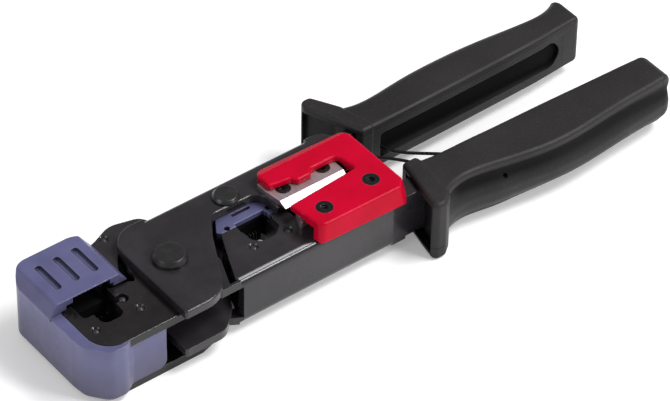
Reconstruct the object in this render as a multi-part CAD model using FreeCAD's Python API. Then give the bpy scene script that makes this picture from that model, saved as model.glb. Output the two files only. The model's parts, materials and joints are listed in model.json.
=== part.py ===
import FreeCAD, Part
import math
import os

# RJ45 crimping tool lying flat, millimetres, +Z up.  Worked out with the pivot at X0 Y0, then
# shifted so that the origin is the middle of the footprint.  +X runs to the handles, lever U
# carries the upper (+Y) handle and the nose, lever R carries the lower (-Y) handle.

SHIFT = (-63.1, -3.6, 0.0)

# levels of the stacked plates, from the ground up
NOSE_LO = (0.0, 2.8)          # lever U, bottom nose plate
CAP_FOOT = 1.6                # underside of the moulded nose cap
HOOD_TOP = 24.4
R_LO = (3.0, 5.6)             # lever R, bottom flange and jaw
U_LO = (5.8, 8.5)             # lever U, bottom flange
R_HI = (17.3, 20.0)           # lever R, top flange and jaw
NOSE_HI = (17.5, 20.2)        # lever U, top nose plate
U_HI = (20.2, 22.9)           # lever U, top flange
GRIP_U = (4.0, 21.0)
GRIP_R = (2.0, 21.0)
COLLAR = (0.0, 21.2)

# pivot
PIVOT_R = 3.5
PIVOT_RUN = 0.05              # radial running clearance in lever R
PIVOT_HEAD_R = 5.1

# 8-position plug cavity and 6-position plug cavity (left, right, floor, top)
PLUG8 = (-31.6, -19.6, -3.4, 1.4)
TAB8 = (-28.4, -20.9, -8.4)
PLUG6 = (24.3, 34.5, -4.6, 3.2)
TAB6 = (26.4, 31.4, -7.2)
PITCH = 1.02                  # contact pitch
RAM8_X = (-31.3, -20.5)
RAM6_X = (24.8, 34.0)

SHEET = 2.7
WALL_U_Y = 17.85              # outer face of lever U's folded wall
WALL_R_Y = -16.8              # outer face of lever R's folded wall
WALL_R_X = (13.0, 66.0)       # length of that wall
TANG_R_Y = -16.0              # outer face of the narrower tang beyond it
TANG_END = 150.0
BEND = 2.5

BLADE = (36.6, 60.0, -3.0, 8.8)
BLADE_Z = (22.9, 24.5)
BLADE_BEVEL = 2.3
GUARD_TOP = 26.6
GUARD_LIP = 19.6
GUARD_FLARE = 1.8             # how far the guard's handle end widens towards its foot
SCREWS_BLADE = ((41.5, 3.2), (55.6, 3.5))
SCREWS_GUARD = ((44.6, -12.0), (62.2, -10.6))

NOSE_PINS = ((-31.4, -8.8), (-16.5, -8.7), (-18.3, -2.7))
JAW_PINS = ((-8.5, 20.2), (-7.0, 13.5))
NEST_PINS = ((35.2, -7.6), (23.2, -7.4))
PIN_R = 1.0
PIN_SINK = 0.45               # countersink round each pin, as deep as it is wide
SPRING_Z = 10.0


def V(x, y, z=0.0):
    return FreeCAD.Vector(x, y, z)


def wire(corners, z=0.0):
    """Closed outline through corners (x, y, r); each corner is rounded with its radius r."""
    n = len(corners)
    stops = []
    for i in range(n):
        p = V(corners[i][0], corners[i][1], z)
        r = corners[i][2] if len(corners[i]) > 2 else 0.0
        a = V(corners[i - 1][0], corners[i - 1][1], z) - p
        b = V(corners[(i + 1) % n][0], corners[(i + 1) % n][1], z) - p
        if r <= 0:
            stops.append((p, None, p))
            continue
        half = a.getAngle(b) / 2
        a.normalize()
        b.normalize()
        bis = a + b
        bis.normalize()
        reach = r / math.tan(half)
        stops.append((p + a * reach, p + bis * (r / math.sin(half) - r), p + b * reach))
    edges = []
    for i in range(n):
        start, mid, end = stops[i]
        if mid is not None:
            edges.append(Part.Arc(start, mid, end).toShape())
        nxt = stops[(i + 1) % n][0]
        if (end - nxt).Length > 1e-4:
            edges.append(Part.makeLine(end, nxt))
    return Part.Wire(edges)


def plate(corners, span):
    return Part.Face(wire(corners, span[0])).extrude(V(0, 0, span[1] - span[0]))


def block(x, y, z):
    return Part.makeBox(x[1] - x[0], y[1] - y[0], z[1] - z[0], V(x[0], y[0], z[0]))


def disc(x, y, r, span):
    return Part.makeCylinder(r, span[1] - span[0], V(x, y, span[0]))


def cone(x, y, r0, r1, span):
    return Part.makeCone(r0, r1, span[1] - span[0], V(x, y, span[0]))


def prism_x(corners, x0, x1):
    """Outline given as (y, z, r), extruded along X."""
    face = Part.Face(wire(corners))
    face = face.transformShape(FreeCAD.Matrix(0, 0, 1, x0, 1, 0, 0, 0, 0, 1, 0, 0, 0, 0, 0, 1))
    return face.extrude(V(x1 - x0, 0, 0))


def fuse(parts):
    return parts[0].multiFuse(parts[1:]).removeSplitter() if len(parts) > 1 else parts[0]


def soften(shape, size, pick):
    """Fillet the edges that pick(edge) chooses."""
    edges = [e for e in shape.Edges if pick(e)]
    return shape.makeFillet(size, edges) if edges else shape


def level(edge, z):
    box = edge.BoundBox
    return abs(box.ZMin - z) < 1e-3 and abs(box.ZMax - z) < 1e-3


def folded(body, y_wall, z, x, r=BEND):
    """Round the outer corners of the fold at y_wall between the two x values."""
    s = 1 if y_wall > 0 else -1
    far = -60.0 * s
    ring = [(far, z[0]), (y_wall, z[0], r), (y_wall, z[1], r), (far, z[1])]
    keep = prism_x(ring, x[0], x[1])
    keep = keep.fuse(block((-90, x[0]), (-70, 70), (-1, 40))).fuse(block((x[1], 190), (-70, 70), (-1, 40)))
    return body.common(keep)


# ---- outlines ---------------------------------------------------------------------------

def u_outline():
    """Lever U's top flange: nose curve, lower edge, arch over the small cavity, blade seat."""
    return [(-9.3, -20.3, 0.8), (-9.3, 18.2, 8.6), (3.0, 18.0, 14), (10.0, WALL_U_Y, 3),
            (68.0, WALL_U_Y, 6.0), (68.0, 2.6, 1.0), (37.4, -0.5, 0.5), (36.2, -1.2, 0.4),
            (36.4, 7.5, 3.6), (19.9, 7.8, 4.0), (15.0, 0.5, 12), (4.4, -20.2, 10)]


def u_low_outline():
    """Lever U's bottom flange, cut back on the jaw side and reaching in under the insert."""
    return [(-9.3, -20.3, 0.8), (-9.3, -6.0, 3), (-7.5, 5.5, 4), (3.0, 8.5, 4), (9.5, 12.0, 3),
            (10.5, WALL_U_Y, 1)] + u_outline()[4:9] + [(23.6, 7.8, 2), (23.0, 1.0, 2), (18.0, -3.0, 3),
            (13.5, -9.0, 3), (11.0, -14.0, 3), (4.4, -20.2, 6)]


def nose_outline():
    """Lever U's top nose plate, with the tongue that runs up beside its top flange."""
    return [(-35.3, 3.2, 0.3), (-35.3, -17.6, 7.5), (-2.6, -17.6, 0.5), (-2.9, -12.9, 0.5),
            (-6.0, -9.5, 2), (-8.8, -4.0, 2), (-8.8, 10.5), (-9.1, 10.5), (-10.1, 3.5, 1.5),
            (-11.4, 0.6, 0.8), (-13.2, 1.8, 0.8), (-19.0, 2.4, 0.3), (-19.0, 3.2, 0.3)]


def plug8_cut(span):
    body = plate([(PLUG8[0], 4.0), (PLUG8[0], PLUG8[2], 1.4), (PLUG8[1], PLUG8[2], 0.6),
                  (PLUG8[1], 4.0)], span)
    tab = plate([(TAB8[0], -2.4), (TAB8[0], TAB8[2], 2.4), (TAB8[1], TAB8[2], 2.4),
                 (TAB8[1], -2.4)], span)
    return body.fuse(tab)


def plug6_cut(span):
    return plate([(PLUG6[0], PLUG6[3]), (PLUG6[0], PLUG6[2], 2.0), (TAB6[0], TAB6[2], 1.8),
                  (TAB6[1], TAB6[2], 2.2), (PLUG6[1], PLUG6[2], 1.6), (PLUG6[1], PLUG6[3])], span)


def jaw_edge():
    """Lever R round the pivot and along the front jaw, from below the pivot back to its right side."""
    return [(2.0, -8.6, 1.0), (-8.3, -8.6, 7.4), (-8.0, 5.0, 3), (-7.0, 11.2, 0.6), (-8.6, 12.9, 0.6),
            (-11.4, 9.3, 8), (-13.2, 6.0, 1.0), (-16.4, 7.6, 3), (-29.4, 8.6, 2), (-29.4, 18.6, 3.4),
            (-16.6, 19.0, 3), (-11.0, 20.8, 3), (-4.5, 23.7, 7), (4.6, 21.4, 4), (8.4, 14.2, 3),
            (12.4, 8.0, 5), (11.8, -2.0, 6), (12.9, -6.0, 3)]


def jaw_outline():
    """Top flange of lever R: jaw plus the strip that ties it to the channel."""
    return [(5.2, WALL_R_Y, 0.5), (3.6, -12.6, 2)] + jaw_edge() + [(8.8, -15.9, 0.3), (11.6, -15.9),
                                                                    (11.6, WALL_R_Y)]


def jaw_low_outline():
    return [(8.3, -13.3), (6.0, -9.5, 3)] + jaw_edge() + [(9.6, -11.3, 0.8), (11.0, -11.8)]


def channel_edge():
    """Lever R's flange along the insert and the cable gap, back to the end of its wall."""
    return [(14.4, -8.0, 8), (19.0, 2.0, 0.3), (24.0, 2.0), (24.0, -1.0), (34.8, -1.0), (34.8, 0.4),
            (39.4, 0.2, 0.8), (40.0, -5.0, 1.2), (61.0, -5.0, 1.5), (62.4, -1.6, 1.5), (68.6, -1.6, 2),
            (71.0, -9.4, 1), (71.0, TANG_R_Y), (WALL_R_X[1], TANG_R_Y), (WALL_R_X[1], WALL_R_Y)]


def channel_outline():
    return [(11.3, WALL_R_Y), (11.3, -15.2, 1)] + channel_edge()


def channel_low_outline():
    return [(13.4, WALL_R_Y, 1), (10.6, -15.4, 2), (8.0, -13.6, 2), (6.2, -10.6, 0.5),
            (13.2, -12.2, 0.8)] + channel_edge()


def insert_outline():
    return [(19.2, 2.1, 0.3), (18.2, 3.2, 0.5), (21.8, 8.8, 3.6), (35.6, 9.0, 3.6), (38.0, 3.6, 0.6),
            (39.3, 0.5, 0.5), (34.8, 0.5), (34.8, 2.1), (24.0, 2.1)]


# ---- lever U ----------------------------------------------------------------------------

def tang_u():
    """The part of lever U's channel that runs inside the grip."""
    tang = block((60.0, TANG_END), (WALL_U_Y - SHEET, WALL_U_Y), (U_LO[0], 18.6))
    foot = plate([(60, 12.0), (76, 15.3), (TANG_END, 15.3), (TANG_END, 22.6, 3), (70, 22.6, 2),
                  (62, 17.8)], U_LO)
    return tang.fuse(foot)


def lever_u_channel():
    top = plate(u_outline(), U_HI)
    top = soften(top, 0.5, lambda e: level(e, U_HI[1]))
    low = plate(u_low_outline(), U_LO)
    wall = block((12.0, 60.0), (WALL_U_Y - SHEET, WALL_U_Y), (U_LO[0], U_HI[1]))
    body = fuse([folded(fuse([top, low, wall]), WALL_U_Y, (U_LO[0], U_HI[1]), (3.0, 60.0)), tang_u()])
    holes = [disc(0, 0, PIVOT_R, (0, 30)), disc(27.4, 11.2, 2.0, (U_HI[0], 30))]
    holes += [disc(x, y, 1.0, (U_HI[0], 30)) for x, y in SCREWS_BLADE]
    holes += [disc(x, 19.2, 1.5, (0, 30)) for x in (92.0, 134.0)]
    for hole in holes:
        body = body.cut(hole)
    return body


def nose_plate_top():
    body = plate(nose_outline(), NOSE_HI).cut(plug8_cut((0, 30)))
    body = soften(body, 0.35, lambda e: level(e, NOSE_HI[1]) and e.BoundBox.YMax < -10
                  and e.BoundBox.XMin < -20)
    for x, y in NOSE_PINS[:2]:
        body = body.cut(disc(x, y, PIN_R, (0, 30))).cut(countersink(x, y, PIN_R, NOSE_HI[1]))
    x, y = NOSE_PINS[2]
    return body.cut(disc(x, y, 1.8, (0, 30)))


def nose_plate_bottom():
    outline = [(-35.3, 19.8, 3), (-35.3, -16.6, 7.5), (-1.0, -16.6, 3), (5.6, -14.6, 3), (9.0, -12.2, 4),
               (12.0, -2.0, 8), (8.0, 12.0, 6), (-6.0, 19.8, 6)]
    body = plate(outline, NOSE_LO).cut(plug8_cut((-1, 30)))
    body = soften(body, 0.6, lambda e: level(e, NOSE_LO[0]) and e.BoundBox.XLength > 30)
    for x, y in NOSE_PINS:
        body = body.cut(disc(x, y, PIN_R, (-1, 30)))
    return body.cut(disc(0, 0, PIVOT_R, (-1, 30)))


def nose_nest():
    """Guide block between the nose plates that holds the plug."""
    outline = [(-35.3, 1.6, 0.3), (-35.3, -17.6, 7.5), (-27.6, -17.6), (-27.6, -16.0), (-14.7, -16.0, 0.5),
               (-14.7, 1.6, 0.5)]
    body = plate(outline, (NOSE_LO[1], NOSE_HI[0])).cut(plug8_cut((-1, 30)))
    for x, y in NOSE_PINS:
        body = body.cut(disc(x, y, PIN_R, (-1, 30)))
    return body


def nose_cap():
    """Moulded cap: rim round the nose plate, hood over the ram, open towards the jaw."""
    outer = [(-38.8, 22.6, 5.2), (-38.8, -7.4, 1), (-38.3, -12.6, 6), (-33.4, -18.7, 4),
             (-28.2, -19.0, 5), (-25.2, -17.0, 2), (-16.1, -17.0), (-16.1, 22.6, 3.5)]
    shell = plate(outer, (CAP_FOOT, NOSE_HI[1]))
    shell = soften(shell, 1.0, lambda e: level(e, CAP_FOOT))
    shell = shell.cut(block((-27.4, -10), (-20, -15), (0, NOSE_LO[1])))
    shell = shell.cut(block((-24.6, -10), (-20, -15), (0, 30)))
    hood = prism_y([(-39.2, 19.4), (-39.2, 20.4, 1.0), (-36.9, HOOD_TOP, 1.2), (-16.0, HOOD_TOP, 0.8),
                    (-13.2, 21.0, 0.5), (-13.2, 19.4)], 22.6, 2.0)
    crown = plate([(-39.2, 22.6, 6.0), (-39.2, 2.0), (-13.2, 2.0), (-13.2, 22.6, 6.5)], (19.0, 25.0))
    side = prism_y([(-26.6, NOSE_LO[1]), (-13.7, NOSE_LO[1], 2.6), (-13.7, 17.4, 0.4), (-26.6, 17.4)],
                   -16.0, -17.0)
    body = fuse([shell, hood.common(crown), side])
    cuts = [plate([(-35.3, 20.0, 3), (-35.3, -16.6, 7.5), (10, -16.6), (10, 20.0)], (0, NOSE_LO[1])),
            plate([(-35.3, 20.0, 3), (-35.3, -17.6, 7.5), (-27.6, -17.6), (-27.6, -16.0), (10, -16.0),
                   (10, 20.0)],
                  (NOSE_LO[1], NOSE_HI[0])),
            plate([(-35.3, 3.2), (-35.3, -17.6, 7.5), (10, -17.6), (10, 3.2)], (17.4, 21.0)),
            block((-35.3, 10), (3.2, 20.0), (17.4, 20.25)),
            block((-33.6, -17.8), (1.0, 19.5), (17.4, 22.4)),
            block((-31.4, -18.9), (1.0, 4.5), (17.4, 24.0)),
            block((-16.1, -5.0), (-1.0, 30.0), (0, 20.3))]
    for cut in cuts:
        body = body.cut(cut)
    for x in (-32.4, -26.3, -20.1):
        groove = plate([(x - 1.15, 6.8, 1.1), (x + 1.15, 6.8, 1.1), (x + 1.15, 18.2, 1.1),
                        (x - 1.15, 18.2, 1.1)], (HOOD_TOP - 1.0, 25))
        body = body.cut(groove)
    return body


def prism_y(corners, y0, y1):
    """Outline given as (x, z, r), extruded along Y."""
    face = Part.Face(wire(corners))
    face = face.transformShape(FreeCAD.Matrix(1, 0, 0, 0, 0, 0, -1, y0, 0, 1, 0, 0, 0, 0, 0, 1))
    return face.extrude(V(0, y1 - y0, 0))


def pins(points, r, span):
    """Pins with a domed tip that stands inside the countersink."""
    out = []
    for x, y in points:
        dome = Part.makeSphere(r * 1.25, V(x, y, span[1] - r * 1.25))
        out.append(disc(x, y, r, span).common(dome.fuse(disc(x, y, r, (span[0], span[1] - r * 1.25)))))
    return Part.Compound(out)


def countersink(x, y, r, top):
    return cone(x, y, r, r + PIN_SINK, (top - PIN_SINK, top))


def pivot_rivet():
    shank = disc(0, 0, PIVOT_R, (0.0, U_HI[1]))
    head = cone(0, 0, PIVOT_HEAD_R, 4.3, (U_HI[1] + 1.0, U_HI[1] + 2.4)).fuse(
        disc(0, 0, PIVOT_HEAD_R, (U_HI[1], U_HI[1] + 1.0)))
    return fuse([shank, head])


def pivot_bush():
    return disc(0, 0, 6.5, (U_LO[1], 17.1)).cut(disc(0, 0, PIVOT_R, (0, 30)))


def stud_rivet():
    return fuse([disc(27.4, 11.2, 2.0, U_HI),
                 cone(27.4, 11.2, 4.0, 3.2, (U_HI[1], U_HI[1] + 1.6))])


def ram_stop():
    """Block on lever U's bottom flange that drives the small ram."""
    return plate([(25.6, 9.3, 0.5), (33.2, 9.3, 0.5), (33.2, 15.1), (25.6, 15.1)], (U_LO[1], 16.9))


def cutter_blade():
    x0, x1, y0, y1 = BLADE
    bevel = prism_x([(y0, BLADE_Z[0]), (y1, BLADE_Z[0]), (y1, BLADE_Z[1]),
                     (y0 + BLADE_BEVEL, BLADE_Z[1])], x0, x1)
    slant = plate([(36.0, 8.8), (38.0, -4.0), (60, -4.0), (60, 8.8, 1.0)], (20, 30))
    body = bevel.common(slant)
    for x, y in SCREWS_BLADE:
        body = body.cut(disc(x, y, 1.25, (20, 30))).cut(cone(x, y, 1.25, 2.4,
                                                             (BLADE_Z[1] - 1.15, BLADE_Z[1])))
    return body


def flush_screws(points, r, head_r, top, bottom):
    """Countersunk socket screws with their heads flush."""
    out = []
    for x, y in points:
        head = cone(x, y, r, head_r, (top - (head_r - r), top))
        body = fuse([disc(x, y, r, (bottom, top - (head_r - r))), head])
        socket = Part.Face(Part.makePolygon([V(x + 0.62 * head_r * 0.8 * math.cos(math.radians(60 * k)),
                                               y + 0.62 * head_r * 0.8 * math.sin(math.radians(60 * k)),
                                               top - 0.9)
                                             for k in range(7)])).extrude(V(0, 0, 2))
        out.append(body.cut(socket))
    return Part.Compound(out)


def ring_yz(corners, x):
    """Closed outline in the YZ plane at x through corners (y, z, r)."""
    turned = Part.Wire(wire(corners).Edges)
    return turned.transformShape(FreeCAD.Matrix(0, 0, 1, x, 1, 0, 0, 0, 0, 1, 0, 0, 0, 0, 0, 1))


def shrunk(corners, k):
    """The same corners drawn in towards their middle by the factor k."""
    y0 = (min(c[0] for c in corners) + max(c[0] for c in corners)) / 2
    z0 = (min(c[1] for c in corners) + max(c[1] for c in corners)) / 2
    return [(y0 + (y - y0) * k, z0 + (z - z0) * k, r * k) for y, z, r in corners]


def lofted(stations, end_x):
    """Skin through sections (x, corners), closed by a short rounded end at end_x."""
    body = Part.makeLoft([ring_yz(c, x) for x, c in stations], True, False)
    x, last = stations[-1]
    mid = (x + 2 * end_x) / 3
    tip = [ring_yz(last, x), ring_yz(shrunk(last, 0.94), mid), ring_yz(shrunk(last, 0.80), end_x)]
    return fuse([body, Part.makeLoft(tip, True, False)])


def section_u(y_in, y_out, r_out):
    """Upper grip: flat inner face, rounded back."""
    z0, z1 = GRIP_U
    return [(y_in, z0, 1.2), (y_out - 1.2, z0, r_out), (y_out, 12.5, 8.0), (y_out - 0.6, z1, r_out),
            (y_in, z1, 1.2)]


def section_r(y_in, y_top, groove, y_mid, y_foot):
    """Lower grip: flat inner face, lip along the top of the back, groove under it, full middle."""
    z0, z1 = GRIP_R
    return [(y_in, z1, 1.5), (y_top, z1, 1.3), (y_top, 18.6, 0.8), (y_top + groove, 15.4, 2.2),
            (y_mid, 10.8, 3.0), (y_mid, 7.0, 4.0), (y_foot, z0, 2.5), (y_in, z0, 1.5)]


def grip_upper():
    stations = ((78.5, 12.2, 26.0, 3.0), (86.0, 12.0, 24.7, 3.2), (98.0, 12.1, 26.0, 3.8),
                (114.0, 12.4, 27.0, 4.2),
                (130.0, 12.8, 26.4, 4.2), (145.0, 13.3, 24.9, 4.0), (152.0, 13.8, 24.7, 4.0),
                (159.4, 14.3, 26.9, 4.0))
    body = lofted([(x, section_u(a, b, r)) for x, a, b, r in stations], 161.0)
    collar = plate([(69.4, 30.4, 1.8), (70.8, 33.6, 2.0), (74.0, 33.5, 1.8), (78.9, 24.8, 4),
                    (82.0, 13.4, 0.8),
                    (80.8, 11.9, 0.8), (77.0, 11.9, 0.8)], COLLAR)
    collar = soften(collar, 1.2, lambda e: level(e, COLLAR[1]) or level(e, COLLAR[0]))
    mouth = plate([(62.0, 31.6), (72.0, 31.6, 1.0), (76.4, 24.2, 2.5), (79.2, 14.0, 0.8), (70, 14.0)],
                  (2.0, 19.2))
    slot = prism_y([(83.6, 7.6, 1.2), (146.0, 7.6, 3.6), (150.0, 7.2, 3.4), (153.6, 12.2, 4.0),
                    (150.0, 17.2, 3.4),
                    (146.0, 16.6, 3.6), (83.6, 16.6, 1.2)], 10.0, 15.1)
    return fuse([body, collar]).cut(mouth).cut(slot).cut(tang_u())


# ---- lever R ----------------------------------------------------------------------------

def tang_r():
    """The part of lever R's channel that runs inside the grip."""
    z = (R_LO[0] + 1.0, R_HI[1] - 1.0)
    web = block((WALL_R_X[1] - 1.0, TANG_END), (TANG_R_Y, TANG_R_Y + SHEET), z)
    ears = [plate([(69.0, -9.6, 1), (TANG_END, -11.2, 1), (TANG_END, TANG_R_Y), (69.0, TANG_R_Y)], span)
            for span in ((z[0], R_LO[1] + 1.0), (R_HI[0] - 1.0, z[1]))]
    return fuse([web] + ears)


def lever_r_channel():
    top = plate(jaw_outline(), R_HI).fuse(plate(channel_outline(), R_HI))
    low = plate(jaw_low_outline(), R_LO).fuse(plate(channel_low_outline(), R_LO))
    wall = block(WALL_R_X, (WALL_R_Y, WALL_R_Y + SHEET), (R_LO[0], R_HI[1]))
    body = fuse([top, low, wall]).cut(plug6_cut((-1, 40)))
    body = fuse([folded(body, WALL_R_Y, (R_LO[0], R_HI[1]), (WALL_R_X[0] - 1.0, WALL_R_X[1])), tang_r()])
    cuts = [disc(0, 0, PIVOT_R + PIVOT_RUN, (-1, 40))]
    cuts += [disc(x, y, 1.1, (-1, 40)) for x, y in JAW_PINS + NEST_PINS]
    cuts += [disc(-26.0, 14.6, 1.8, (-1, 40))]
    cuts += [disc(x, y, 1.25, (10, 40)) for x, y in SCREWS_GUARD]
    cuts += [countersink(x, y, 1.1, R_HI[1]) for x, y in JAW_PINS[:1] + NEST_PINS]
    for cut in cuts:
        body = body.cut(cut)
    return body


def jaw_driver():
    """Cross pin in the jaw that pushes the large ram."""
    return disc(-26.0, 14.6, 1.8, (R_LO[0], R_HI[1]))


def jaw_spacer():
    body = plate([(-13.0, 14.0, 2), (-13.0, 21.0, 2), (-4.0, 22.4, 3), (1.5, 17.5, 3), (-1.0, 11.5, 2),
                  (-9.0, 10.6, 2)], (R_LO[1], R_HI[0]))
    for x, y in JAW_PINS:
        body = body.cut(disc(x, y, 1.1, (-1, 40)))
    return body


def nest_6p():
    top = plate(insert_outline(), (R_HI[0], R_HI[1])).cut(plug6_cut((-1, 40)))
    leg_l = plate([(19.4, 2.0), (17.4, -2.0, 1), (17.4, -9.6, 1), (24.2, -9.6), (24.2, 2.0)],
                  (8.8, R_HI[0]))
    leg_r = plate([(34.6, 2.0), (34.6, -9.6), (40.2, -9.6, 1), (39.2, 2.0)], (8.8, R_HI[0]))
    floor = plate([(24.2, -9.6), (34.6, -9.6), (34.6, -3.0), (24.2, -3.0)], (8.8, R_HI[0]))
    slot = plate([(25.8, 5.9, 0.4), (32.2, 5.9, 0.4), (32.2, 7.1, 0.4), (25.8, 7.1, 0.4)],
                 (R_HI[1] - 1.4, 40))
    body = fuse([top, leg_l, leg_r, floor]).cut(plug6_cut((-1, 40))).cut(slot)
    for x, y in ((21.7, 3.0), (36.2, 3.2)):
        body = body.cut(disc(x, y, 0.9, (R_HI[1] - 1.8, 40)))
    for x, y in NEST_PINS:
        body = body.cut(disc(x, y, 1.1, (-1, 40)))
    return body


def ram(xs, y_front, y_back, z, teeth, tooth_z):
    """Crimping ram: block with a comb of slots for its teeth and a narrower heel at the back."""
    mid = (xs[0] + xs[1]) / 2
    body = fuse([block(xs, (y_front, y_back - 0.8), z), block((mid - 2.4, mid + 1.6),
                                                              (y_back - 1.0, y_back), z)])
    for k in range(teeth):
        x = mid + (k - (teeth - 1) / 2) * PITCH
        body = body.cut(block((x - 0.2, x + 0.2), (y_front - 1, y_front + 3.0), tooth_z))
    return body


def contact_teeth(xs, y_front, teeth, tooth_z):
    mid = (xs[0] + xs[1]) / 2
    out = []
    for k in range(teeth):
        x = mid + (k - (teeth - 1) / 2) * PITCH
        out.append(block((x - 0.2, x + 0.2), (y_front - 0.8, y_front + 3.0), tooth_z))
    return Part.Compound(out)


def counter_blade():
    return plate([(38.2, -9.0, 0.3), (39.8, -5.0, 0.3), (58.0, -5.0), (58.0, -9.6, 0.4), (38.6, -9.6, 0.3)],
                 (R_HI[1], 22.7))


def guard_outline(flare):
    """U round the blade; flare moves the handle end outwards for the drafted sides."""
    return [(39.0, -17.9, 2.2), (67.0 + flare, -18.1 - flare * 0.3, 1.5),
            (69.6 + flare, -15.4, 1.5), (69.5 + flare * 0.4, 9.0, 2.0), (67.4, 11.3, 2.0),
            (37.4, 12.3, 3.4), (37.5, 4.4, 0.6), (44.6, 3.3, 0.5), (45.6, 1.6, 0.7),
            (50.2, 1.6, 0.7), (51.6, 3.4, 0.7), (60.8, 3.3, 1.8), (61.8, -3.8, 0.8), (37.3, -5.5, 0.6)]


def blade_guard():
    """Moulded guard over the blade: one arm above lever U, the other on lever R."""
    body = Part.makeLoft([wire(guard_outline(GUARD_FLARE), GUARD_LIP),
                          wire(guard_outline(0.0), GUARD_TOP)], True, True)
    body = soften(body, 0.8, lambda e: level(e, GUARD_TOP))
    cuts = [block((30, 80), (WALL_R_Y, 20), (10, R_HI[1])),
            plate([(30, -5.2), (80, -5.2), (80, 30), (30, 30)], (10, 23.1)),
            block((30, 61.9), (-11.7, 9.6), (22.75, 24.8)),
            block((30, 58.0), (-9.6, 0.0), (10, 23.1)),
            block((30, 41.6), (-15.0, 0.0), (R_HI[1] - 1, 24.2)),
            prism_x([(9.4, GUARD_TOP + 0.1), (14.0, GUARD_TOP + 0.1), (14.0, GUARD_TOP - 1.9)], 30, 80)]
    for x, y in SCREWS_GUARD:
        cuts += [disc(x, y, 1.25, (10, 40)), cone(x, y, 1.25, 2.6, (GUARD_TOP - 1.35, GUARD_TOP))]
    for cut in cuts:
        body = body.cut(cut)
    return body


def grip_lower():
    stations = ((78.5, -6.2, -24.4, 0.6, -24.6, -23.0), (82.0, -7.0, -22.0, 1.8, -22.6, -20.6),
                (86.5, -7.6, -20.5, 2.7, -21.2, -18.8), (95.0, -7.9, -20.7, 2.8, -21.7, -19.0),
                (106.0, -8.2, -22.9, 2.6, -23.5, -20.2), (120.0, -8.5, -24.8, 2.3, -25.5, -21.0),
                (138.0, -9.0, -23.8, 2.0, -25.0, -20.4), (152.0, -9.4, -22.7, 1.5, -23.7, -19.4),
                (161.8, -9.8, -22.1, 0.6, -22.8, -19.5))
    body = lofted([(row[0], section_r(*row[1:])) for row in stations], 165.4)
    collar = plate([(77.6, -5.4, 1.0), (82.6, -5.4, 1.2), (83.4, -9.0, 3), (81.0, -23.6, 3),
                    (77.6, -26.3, 1.8), (73.2, -26.4, 1.8), (74.4, -20.0, 4)], COLLAR)
    collar = soften(collar, 1.4, lambda e: level(e, COLLAR[1]) or level(e, COLLAR[0]))
    mouth = plate([(70.0, -24.2), (76.0, -24.2, 1.0), (80.2, -8.0, 1.0), (72.0, -8.0)], (2.0, 19.4))
    slot = prism_y([(88.0, 7.2, 4.4), (150.0, 7.2, 4.4), (156.0, 11.8, 4.0), (150.0, 16.2, 4.4),
                    (88.0, 16.2, 4.4)], -10.6, -5.0)
    hole = Part.makeCylinder(0.7, 12.0, V(103.3, -31.0, 13.5), V(0, 1, 0))
    return fuse([body, collar]).cut(mouth).cut(tang_r()).cut(slot).cut(hole)


def rod(points, r):
    """Bent wire: straight runs between the points, rounded at each bend."""
    parts = []
    for a, b in zip(points[:-1], points[1:]):
        run = V(*b) - V(*a)
        parts.append(Part.makeCylinder(r, run.Length, V(*a), run))
    parts += [Part.makeSphere(r, V(*p)) for p in points[1:-1]]
    return fuse(parts)


def return_spring():
    """Hairpin spring between the handles: two long legs joined by a bend in the lower grip's slot."""
    leg_a = [(84.9, 14.6, SPRING_Z), (86.0, 10.2, SPRING_Z), (89.6, 6.4, SPRING_Z), (97.5, 0.0, SPRING_Z),
             (103.4, -7.4, SPRING_Z), (102.4, -9.2, SPRING_Z)]
    leg_b = [(92.6, -9.2, SPRING_Z), (91.6, -7.4, SPRING_Z), (87.8, 2.9, SPRING_Z), (85.0, 6.5, SPRING_Z),
             (80.6, 10.9, SPRING_Z)]
    return rod(leg_a + leg_b, 0.5)


NODES = {
    "lever_u_channel": lever_u_channel,
    "nose_plate_top": nose_plate_top,
    "nose_plate_bottom": nose_plate_bottom,
    "nose_nest": nose_nest,
    "nose_cap": nose_cap,
    "nose_pins": lambda: pins(NOSE_PINS, PIN_R, (0.0, NOSE_HI[1] - 0.05)),
    "pivot_rivet": pivot_rivet,
    "pivot_bush": pivot_bush,
    "stud_rivet": stud_rivet,
    "ram_stop": ram_stop,
    "cutter_blade": cutter_blade,
    "blade_screws": lambda: flush_screws(SCREWS_BLADE, 1.0, 2.2, BLADE_Z[1], U_HI[0] + 0.2),
    "grip_upper": grip_upper,
    "lever_r_channel": lever_r_channel,
    "jaw_driver": jaw_driver,
    "jaw_spacer": jaw_spacer,
    "jaw_pins": lambda: pins(JAW_PINS, 1.1, (R_LO[0], R_HI[1] - 0.05)),
    "nest_6p": nest_6p,
    "nest_pins": lambda: pins(NEST_PINS, 1.1, (R_LO[0], R_HI[1] - 0.05)),
    "counter_blade": counter_blade,
    "blade_guard": blade_guard,
    "guard_screws": lambda: flush_screws(SCREWS_GUARD, 1.25, 2.6, GUARD_TOP, 17.5),
    "grip_lower": grip_lower,
    "ram_8p": lambda: ram(RAM8_X, 2.2, 12.4, (5.8, 17.1), 8, (5.8, 12.0)),
    "ram_8p_teeth": lambda: contact_teeth(RAM8_X, 2.2, 8, (5.8, 12.0)),
    "ram_6p": lambda: ram(RAM6_X, 3.6, 8.9, (8.8, 17.1), 6, (8.8, 13.0)),
    "ram_6p_teeth": lambda: contact_teeth(RAM6_X, 3.6, 6, (8.8, 13.0)),
    "return_spring": return_spring,
}

os.makedirs("parts", exist_ok=True)
for node in NODES:
    shape = NODES[node]()
    shape.translate(V(*SHIFT))
    shape.exportStep("parts/" + node + ".step")
    box = shape.BoundBox
    print("%-20s vol %9.1f  solids %d  ok %s  x %.2f %.2f  y %.2f %.2f  z %.2f %.2f" % (
        node, shape.Volume, len(shape.Solids), shape.isValid(), box.XMin, box.XMax, box.YMin, box.YMax,
        box.ZMin, box.ZMax))
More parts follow.
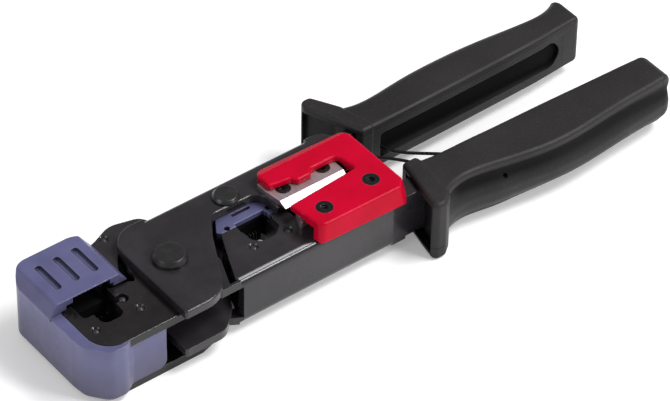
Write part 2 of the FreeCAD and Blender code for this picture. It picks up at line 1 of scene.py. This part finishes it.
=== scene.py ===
import json
import math

import bmesh
import bpy
from mathutils import Matrix, Vector


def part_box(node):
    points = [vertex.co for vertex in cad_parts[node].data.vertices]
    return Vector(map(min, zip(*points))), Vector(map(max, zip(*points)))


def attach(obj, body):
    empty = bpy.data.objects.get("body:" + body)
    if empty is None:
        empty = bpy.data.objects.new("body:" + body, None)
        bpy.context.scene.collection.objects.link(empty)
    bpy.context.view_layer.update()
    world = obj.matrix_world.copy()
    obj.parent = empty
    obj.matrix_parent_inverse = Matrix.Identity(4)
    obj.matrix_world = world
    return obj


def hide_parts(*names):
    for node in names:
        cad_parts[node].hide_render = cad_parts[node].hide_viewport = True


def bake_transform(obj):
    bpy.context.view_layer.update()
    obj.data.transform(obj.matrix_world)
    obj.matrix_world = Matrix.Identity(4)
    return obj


MM = 0.001

# colour sockets of the Mix node, whose names repeat for each data type
MIX_A, MIX_B, MIX_RESULT = 6, 7, 2

# cosine between the bevelled and the flat normal, where an edge mark starts and where it is full; the mark
# is rubbed wear, and on some materials also painted highlight
FLAT_EDGE, FULL_EDGE = 0.995, 0.80

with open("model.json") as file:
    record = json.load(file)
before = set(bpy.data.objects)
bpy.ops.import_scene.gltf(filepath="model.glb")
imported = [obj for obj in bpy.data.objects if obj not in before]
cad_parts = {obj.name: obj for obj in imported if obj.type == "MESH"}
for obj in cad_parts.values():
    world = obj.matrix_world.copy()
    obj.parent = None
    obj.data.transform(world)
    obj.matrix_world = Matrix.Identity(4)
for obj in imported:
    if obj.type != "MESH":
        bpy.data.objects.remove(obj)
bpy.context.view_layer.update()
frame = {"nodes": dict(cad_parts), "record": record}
nodes = frame["nodes"]


# ---- node graphs --------------------------------------------------------------------------

class Look:
    """One procedural material: a Principled shader and short helpers for what feeds it."""

    def __init__(self, name, color, rough, metal=0.0, specular=0.5):
        self.mat = bpy.data.materials.new(name)
        self.mat.use_nodes = True
        self.tree = self.mat.node_tree
        self.shader = self.tree.nodes["Principled BSDF"]
        self.set("Base Color", (*color, 1.0))
        self.set("Roughness", rough)
        self.set("Metallic", metal)
        self.set("Specular IOR Level", specular)
        self.place = self.add("ShaderNodeTexCoord").outputs["Object"]

    def set(self, socket, value):
        self.shader.inputs[socket].default_value = value

    def add(self, kind, **values):
        node = self.tree.nodes.new(kind)
        for key, value in values.items():
            setattr(node, key, value)
        return node

    def link(self, a, b):
        self.tree.links.new(a, b)

    def stretched(self, factors):
        """Object coordinates scaled by factors."""
        node = self.add("ShaderNodeMapping")
        node.inputs["Scale"].default_value = factors
        self.link(self.place, node.inputs["Vector"])
        return node.outputs["Vector"]

    def noise(self, size, detail=3.0, rough=0.55, where=None):
        """Noise whose features are about size metres across."""
        node = self.add("ShaderNodeTexNoise")
        node.inputs["Scale"].default_value = 1.0 / size
        node.inputs["Detail"].default_value = detail
        node.inputs["Roughness"].default_value = rough
        self.link(where or self.place, node.inputs["Vector"])
        return node.outputs["Fac"]

    def cells(self, size):
        """Distance to the middle of cells about size metres across."""
        node = self.add("ShaderNodeTexVoronoi")
        node.inputs["Scale"].default_value = 1.0 / size
        self.link(self.place, node.inputs["Vector"])
        return node.outputs["Distance"]

    def spread(self, value, low, high, to_low=0.0, to_high=1.0):
        """Maps low..high to to_low..to_high and holds the ends."""
        node = self.add("ShaderNodeMapRange")
        limits = {"From Min": low, "From Max": high, "To Min": to_low, "To Max": to_high}
        for socket, number in limits.items():
            node.inputs[socket].default_value = number
        self.link(value, node.inputs["Value"])
        return node.outputs["Result"]

    def times(self, a, b):
        node = self.add("ShaderNodeMath", operation="MULTIPLY")
        self.link(a, node.inputs[0])
        self.link(b, node.inputs[1])
        return node.outputs[0]

    def tint(self, value, color_a, color_b):
        """color_a where value is 0 and color_b where it is 1; each is a tuple or an output."""
        node = self.add("ShaderNodeMix", data_type="RGBA")
        self.link(value, node.inputs["Factor"])
        for socket, color in ((MIX_A, color_a), (MIX_B, color_b)):
            if isinstance(color, tuple):
                node.inputs[socket].default_value = (*color, 1.0)
            else:
                self.link(color, node.inputs[socket])
        return node.outputs[MIX_RESULT]

    def edges(self, radius):
        """1 on sharp edges, 0 on flat faces; the mark is rubbed wear, and on the cap, guard and pins also
        painted highlight.
        """
        bevel = self.add("ShaderNodeBevel", samples=4)
        bevel.inputs["Radius"].default_value = radius
        flat = self.add("ShaderNodeNewGeometry").outputs["Normal"]
        dot = self.add("ShaderNodeVectorMath", operation="DOT_PRODUCT")
        self.link(bevel.outputs["Normal"], dot.inputs[0])
        self.link(flat, dot.inputs[1])
        return self.spread(dot.outputs["Value"], FLAT_EDGE, FULL_EDGE)

    def crevices(self, reach):
        """0 deep inside slots and corners, 1 on open faces; it paints shade into colour."""
        node = self.add("ShaderNodeAmbientOcclusion", samples=6)
        node.inputs["Distance"].default_value = reach
        return self.spread(node.outputs["AO"], 0.30, 0.85)

    def height(self):
        parts = self.add("ShaderNodeSeparateXYZ")
        self.link(self.place, parts.inputs[0])
        return parts.outputs["Z"]

    def band(self, axis, at, half, soft=0.15 * MM):
        """1 within half of at along the axis, fading to 0 over twice soft."""
        parts = self.add("ShaderNodeSeparateXYZ")
        self.link(self.place, parts.inputs[0])
        near = self.add("ShaderNodeMath", operation="SUBTRACT")
        self.link(parts.outputs[axis], near.inputs[0])
        near.inputs[1].default_value = at
        far = self.add("ShaderNodeMath", operation="ABSOLUTE")
        self.link(near.outputs[0], far.inputs[0])
        return self.spread(far.outputs[0], half + soft, half - soft)

    def inside(self, x, y, z):
        """1 inside a box given as (centre, half size, softness) for each axis."""
        return self.times(self.band("X", *x), self.times(self.band("Y", *y), self.band("Z", *z)))

    def relief(self, height, strength, depth, rounded=0.0):
        """Bump from a height; rounded is the radius to which sharp edges are softened."""
        bump = self.add("ShaderNodeBump")
        bump.inputs["Strength"].default_value = strength
        bump.inputs["Distance"].default_value = depth
        self.link(height, bump.inputs["Height"])
        if rounded:
            bevel = self.add("ShaderNodeBevel", samples=4)
            bevel.inputs["Radius"].default_value = rounded
            self.link(bevel.outputs["Normal"], bump.inputs["Normal"])
        self.link(bump.outputs["Normal"], self.shader.inputs["Normal"])

    def color(self, output):
        self.link(output, self.shader.inputs["Base Color"])

    def roughness(self, output):
        self.link(output, self.shader.inputs["Roughness"])


# ---- materials ----------------------------------------------------------------------------

def black_steel(name, dark, light, specular):
    """Satin black stoved steel: cloudy, faintly brown and violet, rubbed grey along its edges."""
    look = Look(name, dark, 0.3, specular=specular)
    cloud = look.noise(14 * MM, detail=4.0, rough=0.6)
    warm = look.tint(look.spread(cloud, 0.38, 0.64), dark, light)
    fleck = look.spread(look.noise(1.1 * MM, detail=2.0), 0.60, 0.74)
    flecked = look.times(fleck, look.spread(cloud, 0.3, 0.6, 0.1, 0.4))
    mottled = look.tint(flecked, warm, (0.034, 0.030, 0.032))
    patches = look.spread(look.noise(5.0 * MM, detail=4.0), 0.46, 0.64, 0.1, 0.6)
    worn = look.times(look.edges(0.25 * MM), patches)
    look.color(look.tint(worn, mottled, (0.18, 0.17, 0.17)))
    look.roughness(look.spread(look.noise(5 * MM, detail=4.0, rough=0.6), 0.3, 0.7, 0.18, 0.26))
    look.relief(look.noise(0.8 * MM, detail=2.0), 0.10, 0.006 * MM, rounded=0.3 * MM)
    return look.mat


def nest_black():
    """Matt black of the inner blocks."""
    look = Look("nest_black", (0.003, 0.003, 0.003), 0.6, specular=0.1)
    look.color(look.tint(look.noise(4 * MM), (0.002, 0.002, 0.0022), (0.005, 0.005, 0.005)))
    look.roughness(look.spread(look.noise(1.5 * MM), 0.3, 0.7, 0.45, 0.65))
    look.relief(look.noise(0.3 * MM), 0.3, 0.02 * MM)
    return look.mat


def cap_plastic(name, shade_below=None):
    """Slate-violet moulding, finely textured and darker towards the bottom, with painted shade in its
    crevices and lighter edges that are partly wear, partly painted highlight; painted black shade below an
    optional height.
    """
    look = Look(name, (0.10, 0.10, 0.21), 0.34, specular=0.5)
    cloud = look.noise(9 * MM, detail=4.0)
    base = look.tint(look.spread(cloud, 0.35, 0.65), (0.088, 0.088, 0.195), (0.110, 0.110, 0.235))
    # lighter edges in patches: rubbed wear, made strong enough to serve as painted highlight lines
    patches = look.spread(look.noise(5 * MM, detail=4.0), 0.42, 0.65, 0.2, 0.8)
    shown = look.tint(look.times(look.edges(0.5 * MM), patches), base, (0.28, 0.28, 0.42))
    # painted shade: ambient occlusion darkens the colour in crevices and slots
    shown = look.tint(look.crevices(8 * MM), (0.030, 0.027, 0.052), shown)
    height = look.height()
    # darker towards the bottom
    bottom_fade = look.spread(height, 2 * MM, 17 * MM, 0.35, 1.0)
    shown = look.tint(bottom_fade, (0.055, 0.048, 0.080), shown)
    # painted shade: the colour turns black below the given height, where the insert's pocket lies unlit
    if shade_below:
        above = look.spread(height, shade_below - 0.4 * MM, shade_below)
        shown = look.tint(above, (0.004, 0.004, 0.005), shown)
    look.color(shown)
    look.roughness(look.spread(look.noise(2.2 * MM, detail=4.0), 0.3, 0.7, 0.28, 0.40))
    look.relief(look.noise(0.38 * MM, detail=2.0), 0.45, 0.03 * MM, rounded=0.35 * MM)
    return look.mat


def guard_plastic():
    """Glossy red moulding, a little uneven as thick mouldings are, with painted highlight lines along its
    edges.
    """
    look = Look("guard_plastic", (0.54, 0.0011, 0.022), 0.24, specular=0.07)
    flow = look.noise(11 * MM, detail=2.0)
    smooth = look.tint(look.spread(flow, 0.35, 0.65), (0.47, 0.0009, 0.019), (0.54, 0.0012, 0.026))
    # painted highlight: the edges turn lighter pink
    rim = look.spread(look.edges(0.35 * MM), 0.0, 1.0, 0.0, 0.35)
    look.color(look.tint(rim, smooth, (0.80, 0.05, 0.09)))
    look.roughness(look.spread(look.noise(3 * MM, detail=4.0), 0.3, 0.7, 0.18, 0.28))
    look.relief(look.noise(2.6 * MM, detail=2.0), 0.12, 0.05 * MM, rounded=0.4 * MM)
    return look.mat


def grip_plastic(name, seam, shade_box, shade_strength):
    """Charcoal sleeve: fine leather-like grain, painted shade in its crevices and in the hollow of a box, a
    moulding seam at height seam.
    """
    look = Look(name, (0.020, 0.0185, 0.019), 0.5, specular=0.24)
    cloud = look.noise(22 * MM, detail=3.0)
    base = look.tint(look.spread(cloud, 0.35, 0.65), (0.0155, 0.0138, 0.0144), (0.0225, 0.0205, 0.0212))
    dust = look.spread(look.noise(0.7 * MM, detail=2.0), 0.58, 0.76, 0.0, 0.5)
    patches = look.spread(look.noise(6 * MM, detail=4.0), 0.42, 0.65, 0.1, 0.6)
    rub = look.times(look.edges(0.5 * MM), patches)
    shown = look.tint(rub, look.tint(dust, base, (0.055, 0.051, 0.052)), (0.075, 0.071, 0.073))
    # painted shade: ambient occlusion darkens the colour in crevices
    shown = look.tint(look.crevices(8 * MM), (0.0012, 0.0011, 0.0012), shown)
    # painted shade: the hollow inside the box turns nearly black, at the given strength
    hollow_shade = look.spread(look.inside(*shade_box), 0.0, 1.0, 0.0, shade_strength)
    shown = look.tint(hollow_shade, shown, (0.0008, 0.0007, 0.0008))
    look.color(look.tint(look.band("Z", seam, 0.2 * MM), shown, (0.003, 0.003, 0.003)))
    satin = look.spread(look.noise(12 * MM, detail=4.0), 0.3, 0.7, 0.42, 0.56)
    look.roughness(look.tint(hollow_shade, satin, (0.9, 0.9, 0.9)))
    look.relief(look.cells(0.55 * MM), 0.60, 0.05 * MM, rounded=0.4 * MM)
    return look.mat


def ground_steel(name, color, rough, grain_axis):
    """Bright steel with fine grinding marks across grain_axis."""
    look = Look(name, color, rough, metal=1.0)
    factors = [1.0, 1.0, 1.0]
    factors[grain_axis] = 0.02
    marks = look.noise(0.3 * MM, detail=3.0, where=look.stretched(factors))
    shade = tuple(c * 0.90 for c in color)
    look.color(look.tint(look.spread(marks, 0.3, 0.7), shade, color))
    look.roughness(look.spread(marks, 0.3, 0.7, rough * 0.9, rough * 1.15))
    look.relief(marks, 0.05, 0.002 * MM)
    return look.mat


def turned_steel(name, dark, light, rough, metal):
    """Darkened steel of rivets, pins and screws, rubbed brighter on its rims; on the pins the brighter rims
    also serve as painted highlight.
    """
    look = Look(name, dark, rough, metal=metal)
    lighter = tuple(c * 1.8 for c in dark)
    cloud = look.tint(look.spread(look.noise(2.5 * MM, detail=4.0), 0.35, 0.65), dark, lighter)
    # brighter rims: rubbed wear, and on the pins also a painted highlight
    worn = look.times(look.edges(0.25 * MM), look.spread(look.noise(1.6 * MM), 0.35, 0.6, 0.2, 0.9))
    look.color(look.tint(worn, cloud, light))
    look.roughness(look.spread(look.noise(1.2 * MM, detail=4.0), 0.3, 0.7, rough * 0.8, rough * 1.25))
    look.relief(look.noise(0.5 * MM, detail=3.0), 0.25, 0.012 * MM, rounded=0.15 * MM)
    return look.mat


def floor_white():
    """White ground that glows a little, as a light table does."""
    look = Look("floor_white", (0.93, 0.93, 0.93), 0.7, specular=0.1)
    look.color(look.tint(look.noise(0.4, detail=2.0), (0.925, 0.925, 0.928), (0.935, 0.935, 0.935)))
    look.set("Emission Color", (1.0, 1.0, 1.0, 1.0))
    look.set("Emission Strength", 0.22)
    return look.mat


# hollows of the sleeves, painted dark as shade, as (centre, half size, softness) for x, y and z
SLOT_SHADE = ((55.0 * MM, 36.5 * MM), (12.0 * MM, 1.3 * MM, 0.4 * MM), (12.1 * MM, 5.2 * MM))
GROOVE_SHADE = ((64.0 * MM, 41.0 * MM, 2.5 * MM), (-25.0 * MM, 6.0 * MM), (15.0 * MM, 3.0 * MM, 1.6 * MM))

# painted black shade in the unlit pocket of the 6-position insert starts this far below its top
POCKET_SHADE_DEPTH = 1.3 * MM
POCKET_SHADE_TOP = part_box("nest_6p")[1][2] - POCKET_SHADE_DEPTH

MATERIALS = {
    "black_steel": black_steel("black_steel", (0.0165, 0.0145, 0.0170), (0.0290, 0.0255, 0.0295), 0.42),
    "nose_steel": black_steel("nose_steel", (0.0075, 0.0062, 0.0072), (0.0150, 0.0128, 0.0142), 0.36),
    "nest_black": nest_black(),
    "cap_plastic": cap_plastic("cap_plastic"),
    "nest_plastic": cap_plastic("nest_plastic", shade_below=POCKET_SHADE_TOP),
    "pin_steel": turned_steel("pin_steel", (0.030, 0.029, 0.029), (0.16, 0.155, 0.15), 0.42, 0.5),
    "rivet_steel": turned_steel("rivet_steel", (0.012, 0.0112, 0.0118), (0.10, 0.096, 0.094), 0.32, 0.1),
    # bush_steel is darker than the other turned steel: painted shade on the bush, which sits unlit inside
    # lever R
    "bush_steel": turned_steel("bush_steel", (0.008, 0.008, 0.0085), (0.08, 0.08, 0.08), 0.40, 0.1),
    "blade_steel": ground_steel("blade_steel", (0.56, 0.475, 0.50), 0.46, 1),
    "screw_black": turned_steel("screw_black", (0.006, 0.006, 0.006), (0.07, 0.07, 0.07), 0.16, 0.35),
    "grip_plastic": grip_plastic("grip_plastic", 19.2 * MM, SLOT_SHADE, 1.0),
    "grip_lower_plastic": grip_plastic("grip_lower_plastic", 4.4 * MM, GROOVE_SHADE, 0.8),
    "guard_plastic": guard_plastic(),
    "spring_steel": turned_steel("spring_steel", (0.012, 0.012, 0.0125), (0.07, 0.07, 0.07), 0.28, 0.5),
}

# nodes whose material differs from the plain one of their slot: darker nose plates, painted shade in the
# insert's pocket, and the lower sleeve's seam height and painted shade in its groove
OWN_FINISH = {
    "nose_plate_top": "nose_steel",
    "nose_plate_bottom": "nose_steel",
    "nest_6p": "nest_plastic",
    "grip_lower": "grip_lower_plastic",
}


# ---- mesh helpers -------------------------------------------------------------------------

# degrees between two faces, above which the edge between them stays sharp
SHARP_EDGE = 40.0


def piece(name, mesh, body, slot, *stands_for):
    """A new piece in the finish of its slot. It rides on body, or on none if no body is given."""
    obj = bpy.data.objects.new(name, mesh)
    bpy.context.collection.objects.link(obj)
    mesh.materials.append(MATERIALS[slot])
    if body:
        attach(obj, body)
    if stands_for:
        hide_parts(*stands_for)
    return obj


def lathe(bm, centre, profile, steps):
    """Adds the solid that a profile of (radius, z) points, closed on the axis, sweeps round centre."""
    rings = []
    turn = [2 * math.pi * k / steps for k in range(steps)]
    for radius, z in profile:
        if radius <= 0.0:
            rings.append([bm.verts.new((centre[0], centre[1], z))])
            continue
        rings.append([bm.verts.new((centre[0] + radius * math.cos(a), centre[1] + radius * math.sin(a), z))
                      for a in turn])
    for low, high in zip(rings[:-1], rings[1:]):
        for k in range(steps):
            j = (k + 1) % steps
            ring = [low[k % len(low)], low[j % len(low)], high[j % len(high)], high[k % len(high)]]
            bm.faces.new(list(dict.fromkeys(ring)))


def arc(centre, radius, start, end, steps):
    """Points (r, z) on an arc, angles in degrees from the r axis."""
    turn = [math.radians(start + (end - start) * k / steps) for k in range(steps + 1)]
    return [(centre[0] + radius * math.cos(a), centre[1] + radius * math.sin(a)) for a in turn]


def finished(bm, name):
    """The mesh of bm, smooth but for its sharp edges."""
    bmesh.ops.recalc_face_normals(bm, faces=bm.faces)
    mesh = bpy.data.meshes.new(name)
    bm.to_mesh(mesh)
    bm.free()
    mesh.shade_smooth()
    mesh.set_sharp_from_angle(angle=math.radians(SHARP_EDGE))
    return mesh


# ---- rivets -------------------------------------------------------------------------------

def rivet(node, shank, seat, head, height, top_radius, body):
    """Cheese-headed rivet: straight rim, short taper and a softly rounded, nearly flat top."""
    low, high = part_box(node)
    centre = ((low[0] + high[0]) / 2, (low[1] + high[1]) / 2)
    top, crown, soft = seat + height, 0.1 * MM, 0.3 * MM
    profile = [(0.0, low[2]), (shank, low[2]), (shank, seat)]
    profile += [(head - 0.1 * MM, seat), (head, seat + 0.1 * MM)]
    profile += arc((head - soft, seat + height * 0.5 - soft), soft, 0, 35, 3)
    profile += arc((top_radius - soft, top - crown - soft), soft, 35, 86, 6)
    edge = profile[-1]
    for k in range(1, 9):
        t = k / 8
        profile.append((edge[0] * (1 - t), top - (top - edge[1]) * (1 - t) ** 2))
    bm = bmesh.new()
    lathe(bm, centre, profile, steps=96)
    piece(node + "_turned", finished(bm, node + "_turned"), body, "rivet_steel", node)


# ---- spring -------------------------------------------------------------------------------

WIRE_RADIUS = 0.49 * MM
# a wire's end face stands this far out, and is this much smaller than the wire
TIP_REACH, TIP_SHRINK = 0.15 * MM, 0.35


def smooth_path(points, radius, steps):
    """The polyline with each corner replaced by a curve that starts radius away from it."""
    path = [points[0]]
    for before, corner, after in zip(points, points[1:], points[2:]):
        start = corner + (before - corner).normalized() * min(radius, (before - corner).length * 0.45)
        end = corner + (after - corner).normalized() * min(radius, (after - corner).length * 0.45)
        for k in range(steps + 1):
            t = k / steps
            path.append((1 - t) ** 2 * start + 2 * t * (1 - t) * corner + t ** 2 * end)
    return path + [points[-1]]


def wire(bm, path, radius, sides):
    """Adds a round wire that lies flat in a plane of constant z, with softly closed ends."""
    rings = []
    last = len(path) - 1
    for i, here in enumerate(path):
        along = (path[min(i + 1, last)] - path[max(i - 1, 0)]).normalized()
        across = Vector((-along.y, along.x, 0.0))
        up = Vector((0.0, 0.0, 1.0))
        fan = [2 * math.pi * k / sides for k in range(sides)]
        rings.append([bm.verts.new(here + radius * (math.cos(a) * across + math.sin(a) * up)) for a in fan])
        if i in (0, last):
            away = -along if i == 0 else along
            rim = [bm.verts.new(v.co + away * TIP_REACH + (here - v.co) * TIP_SHRINK) for v in rings[-1]]
            rings.insert(0 if i == 0 else len(rings), rim)
    for low, high in zip(rings, rings[1:]):
        for k in range(sides):
            j = (k + 1) % sides
            bm.faces.new((low[k], low[j], high[j], high[k]))
    bm.faces.new(rings[0])
    bm.faces.new(rings[-1])


def hairpin():
    """Return spring: two long legs joined by a bend in the lower grip.

    Points are in millimetres from the main rivet. right_end and front_end are where its surface reaches in
    x and y.
    """
    corners = [(84.9, 14.6), (86.0, 10.2), (89.6, 6.4), (97.5, 0.0), (103.4, -7.4), (102.4, -9.2),
               (92.6, -9.2), (91.6, -7.4), (87.8, 2.9), (85.0, 6.5), (80.6, 10.9)]
    right_end, front_end = 103.9, -9.7
    low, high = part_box("return_spring")
    shift = Vector((high[0] - right_end * MM, low[1] - front_end * MM, (low[2] + high[2]) / 2))

    def placed(point):
        return Vector((point[0] * MM, point[1] * MM, 0.0)) + shift

    bm = bmesh.new()
    path = smooth_path([placed(corner) for corner in corners], 2.0 * MM, steps=8)
    wire(bm, path, WIRE_RADIUS, sides=20)
    mesh = finished(bm, "return_spring_wire")
    spring = piece("return_spring_wire", mesh, None, "spring_steel", "return_spring")
    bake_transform(spring)


# ---- camera, floor and lights -------------------------------------------------------------

CAMERA_PLACE = Vector((-0.52976, -0.67003, 0.77682))
CAMERA_AZIMUTH, CAMERA_ELEVATION, CAMERA_ROLL = -38.2, 42.0, 0.9
SENSOR_WIDTH = 36.0
FOCAL_LENGTH = 214.925
FLOOR_REACH = 3.0


def camera():
    az, el, roll = (math.radians(a) for a in (CAMERA_AZIMUTH, CAMERA_ELEVATION, CAMERA_ROLL))
    back = Vector((math.sin(az) * math.cos(el), -math.cos(az) * math.cos(el), math.sin(el)))
    side = Vector((math.cos(az), math.sin(az), 0.0))
    lift = back.cross(side)
    right = math.cos(roll) * side + math.sin(roll) * lift
    up = -math.sin(roll) * side + math.cos(roll) * lift
    data = bpy.data.cameras.new("camera")
    data.lens = FOCAL_LENGTH
    data.sensor_width = SENSOR_WIDTH
    data.clip_start = 0.05
    cam = bpy.data.objects.new("camera", data)
    bpy.context.collection.objects.link(cam)
    stand = Matrix((right, up, back)).transposed().to_4x4()
    stand.translation = CAMERA_PLACE
    cam.matrix_world = stand
    bpy.context.scene.camera = cam


def floor():
    bm = bmesh.new()
    bmesh.ops.create_grid(bm, x_segments=4, y_segments=4, size=FLOOR_REACH)
    mesh = bpy.data.meshes.new("floor")
    bm.to_mesh(mesh)
    bm.free()
    obj = bpy.data.objects.new("floor", mesh)
    bpy.context.collection.objects.link(obj)
    mesh.materials.append(floor_white())


def softbox(name, place, size, power):
    """Rectangular light aimed at the middle of the tool."""
    data = bpy.data.lights.new(name, "AREA")
    data.shape = "RECTANGLE"
    data.size, data.size_y = size
    data.energy = power
    obj = bpy.data.objects.new(name, data)
    bpy.context.collection.objects.link(obj)
    obj.location = place
    obj.rotation_euler = (-Vector(place)).to_track_quat("-Z", "Y").to_euler()


def studio():
    softbox("key", (0.75, -0.45, 1.35), (0.6, 0.5), 10.0)
    softbox("fill", (-1.1, 0.1, 0.75), (0.7, 0.5), 3.8)
    softbox("strip", (0.54, -0.90, 0.77), (0.26, 0.09), 5.2)
    softbox("overhead", (0.5, -0.29, 1.04), (0.5, 0.5), 4.5)
    world = bpy.data.worlds.new("world")
    world.use_nodes = True
    ground = world.node_tree.nodes["Background"]
    ground.inputs["Color"].default_value = (1.0, 1.0, 1.0, 1.0)
    ground.inputs["Strength"].default_value = 0.33
    bpy.context.scene.world = world
    bpy.context.scene.view_settings.view_transform = "Standard"


def dress_nodes():
    """Gives every CAD node the material of its slot."""
    for part in frame["record"]["subparts"]:
        obj = nodes[part["node"]]
        obj.data.materials.clear()
        finish = OWN_FINISH.get(part["node"], part["material_slot"])
        obj.data.materials.append(MATERIALS[finish])


camera()
floor()
studio()
dress_nodes()
plate_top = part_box("lever_u_channel")[1][2]
rivet("pivot_rivet", 3.5 * MM, plate_top, 5.1 * MM, 2.4 * MM, 4.4 * MM, "lever_u")
rivet("stud_rivet", 2.0 * MM, plate_top, 4.0 * MM, 1.6 * MM, 3.4 * MM, "lever_u")
hairpin()
